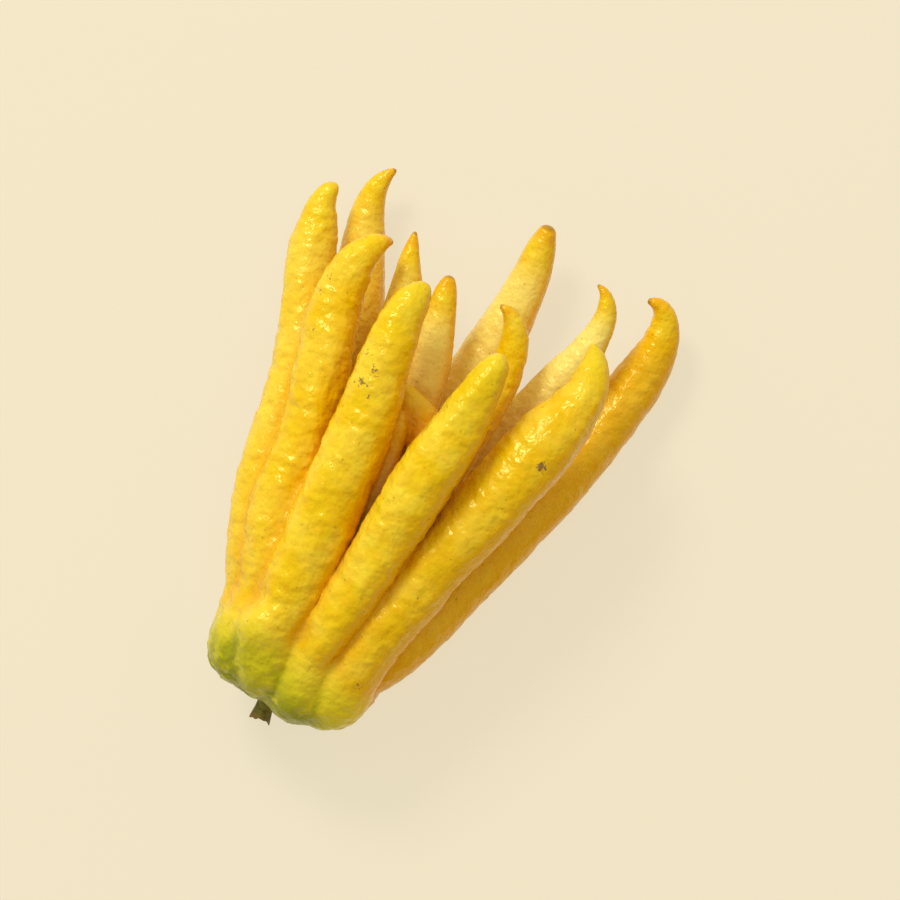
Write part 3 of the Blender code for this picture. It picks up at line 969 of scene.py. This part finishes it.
@dataclass(frozen=True)
class WaxyRind:
    """The finish of the rind: oil glands, wax, ripening colours and scars.

    Ripe rind is gold, with butter patches on the side toward the lamp as painted light,
    cream on the palest fingers and lemon at the ends of the greenish ones. The mottle is
    amber, and amber is painted shade on the sides turned from the lamp, in the creases and
    on fingers lying under others; the cream is partly painted light on fingers in shade.
    The stalk end goes by way of straw and leaf to moss, and dried fingertips are bark.
    Sizes are how far apart the glands, cobbles and grains of the surface are.
    """

    gold: Colour = (0.83, 0.56, 0.002)
    butter: Colour = (0.87, 0.645, 0.032)
    cream: Colour = (0.98, 0.83, 0.22)
    lemon: Colour = (0.74, 0.58, 0.010)
    straw: Colour = (0.78, 0.65, 0.030)
    leaf: Colour = (0.60, 0.54, 0.008)
    moss: Colour = (0.26, 0.28, 0.005)
    amber: Colour = (0.80, 0.33, 0.001)
    bark: Colour = (0.16, 0.07, 0.015)
    pore: Colour = (0.46, 0.21, 0.008)
    scar: Colour = (0.20, 0.09, 0.06)
    gland_size: float = 1.35
    gland_depth: float = 0.08
    cobble_size: float = 3.2
    cobble_depth: float = 0.75
    grain_size: float = 0.9
    grain_depth: float = 0.05

    def material(self) -> bpy.types.Material:
        """Builds the material."""
        bench = Bench("waxy_rind")
        glands = bench.cells(self.gland_size).outputs["Distance"]
        colour = self._ripe(bench)
        colour = self._shade_and_glands(bench, colour, glands)
        colour = self._unripe(bench, colour)
        colour = self._marked(bench, colour)
        rough = bench.ramp(bench.noise(5.0, 3.0), 0.3, 0.7, 0.17, 0.29)
        normal = bench.bump(bench.ramp(glands, 0.0, 0.5), self.gland_depth, None)
        cobbles = bench.noise(self.cobble_size, 1.0)
        normal = bench.bump(cobbles, self.cobble_depth, normal)
        normal = bench.bump(bench.noise(self.grain_size), self.grain_depth, normal)
        bench.finish(colour, rough, normal)
        shader = bench.shader
        shader.inputs["Subsurface Weight"].default_value = 0.12
        shader.inputs["Subsurface Radius"].default_value = (1.0, 0.45, 0.06)
        shader.inputs["Subsurface Scale"].default_value = 2.5 * MM
        shader.inputs["Specular IOR Level"].default_value = 0.5
        shader.inputs["Specular Tint"].default_value = (1.0, 0.84, 0.34, 1.0)
        return bench.material

    def _ripe(self, bench: Bench) -> Socket:
        """Returns the colours of ripe rind, patchy and different on each finger, with
        painted light and shade.
        """
        patches = bench.ramp(bench.noise(15.0), 0.36, 0.66)
        # painted light: the butter patches fall only on rind that faces the lamp
        lit_side = bench.ramp(bench.mark("painted_shade"), 0.1, 0.6, 1.0, 0.0)
        colour = bench.blend(bench.times(patches, lit_side), self.gold, self.butter)
        mottle = bench.ramp(bench.noise(4.2, 3.0), 0.36, 0.66, 0.0, 0.20)
        colour = bench.blend(mottle, colour, self.amber)
        # cream: partly a finger's own paler tone, partly painted light on fingers that lie
        # in shade; less of it under the painted shade of the sides
        shown = bench.ramp(bench.mark("painted_shade"), 0.3, 1.0, 1.0, 0.4)
        creamy = bench.ramp(bench.times(bench.mark("tone_and_light"), shown), 0.0, 0.8)
        colour = bench.blend(creamy, colour, self.cream)
        # painted shade: amber on fingers that lie under others
        shade_amber = bench.ramp(bench.mark("tone_and_light"), -0.7, 0.0, 0.9, 0.0)
        colour = bench.blend(shade_amber, colour, self.amber)
        return bench.blend(bench.times(bench.mark("lemon"), 0.5), colour, self.lemon)

    def _shade_and_glands(self, bench: Bench, colour: Socket, glands: Socket) -> Socket:
        """Paints shade in amber on the sides turned from the lamp and in the creases, and
        ambers the oil glands.
        """
        # painted shade on the sides turned away from the lamp
        colour = bench.blend(bench.times(bench.mark("painted_shade"), 0.50), colour, self.amber)
        pore = bench.ramp(glands, 0.0, 0.42, 0.18, 0.0)
        colour = bench.blend(pore, colour, self.amber)
        # painted shade: amber in the creases between fingers
        return bench.blend(bench.times(bench.mark("crease_shade"), 0.85), colour, self.amber)

    def _unripe(self, bench: Bench, colour: Socket) -> Socket:
        """Turns the stalk end green, by way of straw and with mossy patches."""
        green = bench.mark("green")
        early = bench.ramp(green, 0.02, 0.35, 0.0, 0.65)
        colour = bench.blend(early, colour, self.straw)
        late = bench.ramp(green, 0.22, 0.80, 0.0, 0.95)
        colour = bench.blend(late, colour, self.leaf)
        # painted shade: the dark moss reaches further into the creases
        folds = bench.times(bench.mark("crease_shade"), 0.15)
        last = bench.ramp(bench.plus(green, folds), 0.55, 1.05)
        moss = bench.times(last, bench.ramp(bench.noise(5.0), 0.25, 0.5))
        return bench.blend(moss, colour, self.moss)

    def _marked(self, bench: Bench, colour: Socket) -> Socket:
        """Adds the dark dots, the scars and the dried fingertips."""
        colour = bench.blend(self._specks(bench), colour, self.pore)
        colour = bench.blend(self._scars(bench), colour, self.scar)
        tinge = bench.ramp(bench.mark("tip"), 0.1, 1.0, 0.0, 0.6)
        colour = bench.blend(tinge, colour, self.amber)
        dried = bench.ramp(bench.mark("tip"), 0.95, 1.0, 0.0, 0.55)
        return bench.blend(dried, colour, self.bark)

    def _specks(self, bench: Bench) -> Socket:
        """Returns where the few tiny dark dots are."""
        cells = bench.cells(2.7)
        dot = bench.ramp(cells.outputs["Distance"], 0.06, 0.22, 1.0, 0.0)
        part = bench.tree.nodes.new("ShaderNodeSeparateColor")
        bench.wire(cells.outputs["Color"], part.inputs[0])
        chosen = bench.ramp(part.outputs[0], 0.5, 1.0, 0.0, 0.65)
        return bench.times(dot, chosen)

    def _scars(self, bench: Bench) -> Socket:
        """Returns where scarred pores are dark."""
        likely = bench.times(bench.mark("scar"), 0.42)
        level = bench.plus(bench.noise(1.0, 1.0), likely)
        return bench.ramp(level, 0.86, 0.97, 0.0, 0.8)


@dataclass(frozen=True)
class DryStalk:
    """The finish of the calyx or the stub: dull green with browned, fibrous edges.

    Attributes:
        name: The material's name.
        green: Its ground colour.
        dark: Its darker patches.
        brown: Its dried edges.
    """

    name: str
    green: Colour
    dark: Colour
    brown: Colour

    def material(self) -> bpy.types.Material:
        """Builds the material."""
        bench = Bench(self.name)
        patches = bench.ramp(bench.noise(2.4, 3.0), 0.35, 0.65)
        colour = bench.blend(patches, self.green, self.dark)
        edge = bench.ramp(bench.mark("edge"), 0.2, 1.0, 0.0, 0.85)
        frayed = bench.times(edge, bench.ramp(bench.noise(1.1), 0.2, 0.6))
        colour = bench.blend(frayed, colour, self.brown)
        rough = bench.ramp(bench.noise(1.7), 0.3, 0.7, 0.6, 0.8)
        normal = bench.bump(bench.noise(0.8, 4.0), 0.35, None)
        bench.finish(colour, rough, normal)
        return bench.material


DRY_CALYX = DryStalk(
    "dry_calyx",
    green=(0.23, 0.21, 0.010),
    dark=(0.10, 0.10, 0.006),
    brown=(0.18, 0.10, 0.02),
)
TORN_STEM = DryStalk(
    "torn_stem",
    green=(0.24, 0.21, 0.010),
    dark=(0.10, 0.10, 0.006),
    brown=(0.28, 0.17, 0.05),
)


@dataclass(frozen=True)
class CreamPaper:
    """The finish of the plain floor.

    Attributes:
        colour: Its colour.
        glow: How much of its brightness is its own, so that shadows stay faint.
        shade: How much of the colour is left for the light to fall on.
    """

    colour: Colour = (0.88, 0.79, 0.585)
    glow: float = 0.79
    shade: float = 0.21

    def material(self) -> bpy.types.Material:
        """Builds the material."""
        bench = Bench("cream_paper")
        rough = bench.ramp(bench.noise(3.0), 0.3, 0.7, 0.85, 0.95)
        shaded = tuple(self.shade * channel for channel in self.colour)
        bench.put(shaded, bench.shader.inputs["Base Color"])
        bench.put(self.colour, bench.shader.inputs["Emission Color"])
        bench.shader.inputs["Emission Strength"].default_value = self.glow
        bench.put(rough, bench.shader.inputs["Roughness"])
        bench.shader.inputs["Specular IOR Level"].default_value = 0.2
        return bench.material


@dataclass
class Studio:
    """Floor, soft light and the camera that looks straight down.

    Attributes:
        aim: Point under the middle of the picture.
        distance: From the camera to the aim.
        width: How much the picture takes in at the aim.
        roll_deg: How far the picture is turned.
        floor_size: Side of the floor.
        key_from: Where the soft lamp hangs.
        key_size: Its side.
        key_power: Its power, in watts.
        bright_side: Direction of the room's bright side.
        dim_end: Where the room is dimmest, measured along that direction.
        bright: Light of the bright side.
        dim: Light of the other one.
    """

    aim: Vector = field(default_factory=lambda: Vector((0.0127, 0.0139, 0.040)))
    distance: float = 1.75
    width: float = 0.315
    roll_deg: float = 26.0
    floor_size: float = 4.0
    key_from: Vector = field(default_factory=lambda: Vector((-1.55, 1.15, 1.88)))
    key_size: float = 0.72
    key_power: float = 37.0
    bright_side: Vector = field(default_factory=lambda: Vector((-0.55, 0.50, 0.38)))
    dim_end: float = -0.8
    bright: Colour = (0.95, 0.91, 0.82)
    dim: Colour = (0.30, 0.235, 0.11)

    def build(self) -> None:
        """Sets up everything round the fruit."""
        self._floor()
        self._lamp()
        self._camera()
        scene = bpy.context.scene
        scene.world = self._walls()
        scene.view_settings.view_transform = "Standard"

    def _walls(self) -> bpy.types.World:
        """Returns a room that is bright on one side and dim on the other."""
        world = bpy.data.worlds.new("studio")
        world.use_nodes = True
        tree = world.node_tree
        towards = tree.nodes.new("ShaderNodeVectorMath")
        towards.operation = "DOT_PRODUCT"
        way = tree.nodes.new("ShaderNodeTexCoord").outputs["Generated"]
        tree.links.new(way, towards.inputs[0])
        towards.inputs[1].default_value = self.bright_side
        share = tree.nodes.new("ShaderNodeMapRange")
        share.inputs["From Min"].default_value = self.dim_end
        tree.links.new(towards.outputs["Value"], share.inputs["Value"])
        mix = tree.nodes.new("ShaderNodeMix")
        mix.data_type = "RGBA"
        tree.links.new(share.outputs["Result"], mix.inputs[0])
        for colour, socket in zip((self.dim, self.bright), COLOUR_PAIR):
            mix.inputs[socket].default_value = (*colour, 1.0)
        light = tree.nodes["Background"].inputs["Color"]
        tree.links.new(mix.outputs[COLOUR_OUT], light)
        return world

    def _floor(self) -> None:
        """Lays the floor."""
        mesh = bmesh.new()
        bmesh.ops.create_grid(mesh, x_segments=1, y_segments=1, size=self.floor_size / 2)
        data = bpy.data.meshes.new("floor")
        mesh.to_mesh(data)
        mesh.free()
        floor = bpy.data.objects.new("floor", data)
        floor.data.materials.append(CreamPaper().material())
        bpy.context.scene.collection.objects.link(floor)

    def _lamp(self) -> None:
        """Hangs a square soft lamp that points at the fruit."""
        data = bpy.data.lights.new("key", "AREA")
        data.size = self.key_size
        data.energy = self.key_power
        lamp = bpy.data.objects.new("key", data)
        lamp.location = self.key_from
        towards = self.aim - self.key_from
        lamp.rotation_euler = towards.to_track_quat("-Z", "Y").to_euler()
        bpy.context.scene.collection.objects.link(lamp)

    def _camera(self) -> None:
        """Places the camera above the fruit."""
        data = bpy.data.cameras.new("camera")
        data.lens = data.sensor_width * self.distance / self.width
        camera = bpy.data.objects.new("camera", data)
        camera.location = self.aim + Vector((0.0, 0.0, self.distance))
        camera.rotation_euler = (0.0, 0.0, math.radians(self.roll_deg))
        bpy.context.scene.collection.objects.link(camera)
        bpy.context.scene.camera = camera


def settle(
    piece: bpy.types.Object, node: str, finish: bpy.types.Material
) -> None:
    """Dresses a piece and sets it in the place of its solid.

    Args:
        piece: The piece.
        node: The solid that it stands for.
        finish: Its material.
    """
    piece.data.materials.append(finish)
    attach(piece, "root")
    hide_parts(node)
    LOG.info("%s stands for %s with %s", piece.name, node, finish.name)


def main() -> None:
    """Builds the fruit, its stalk end and the studio."""
    logging.basicConfig(level=logging.INFO)
    Studio().build()
    fingers = [
        Finger(name, (root, *stations))
        for root, table in ((STALK_POINT, OUTER_FINGERS), (PALM_POINT, INNER_FINGERS))
        for name, stations in table.items()
    ]
    settle(Rind(fingers).build(), "fruit", WaxyRind().material())
    stalk = StalkEnd()
    settle(stalk.calyx(), "calyx", DRY_CALYX.material())
    settle(stalk.stub(), "stem_stub", TORN_STEM.material())


if __name__ == "__main__":
    main()
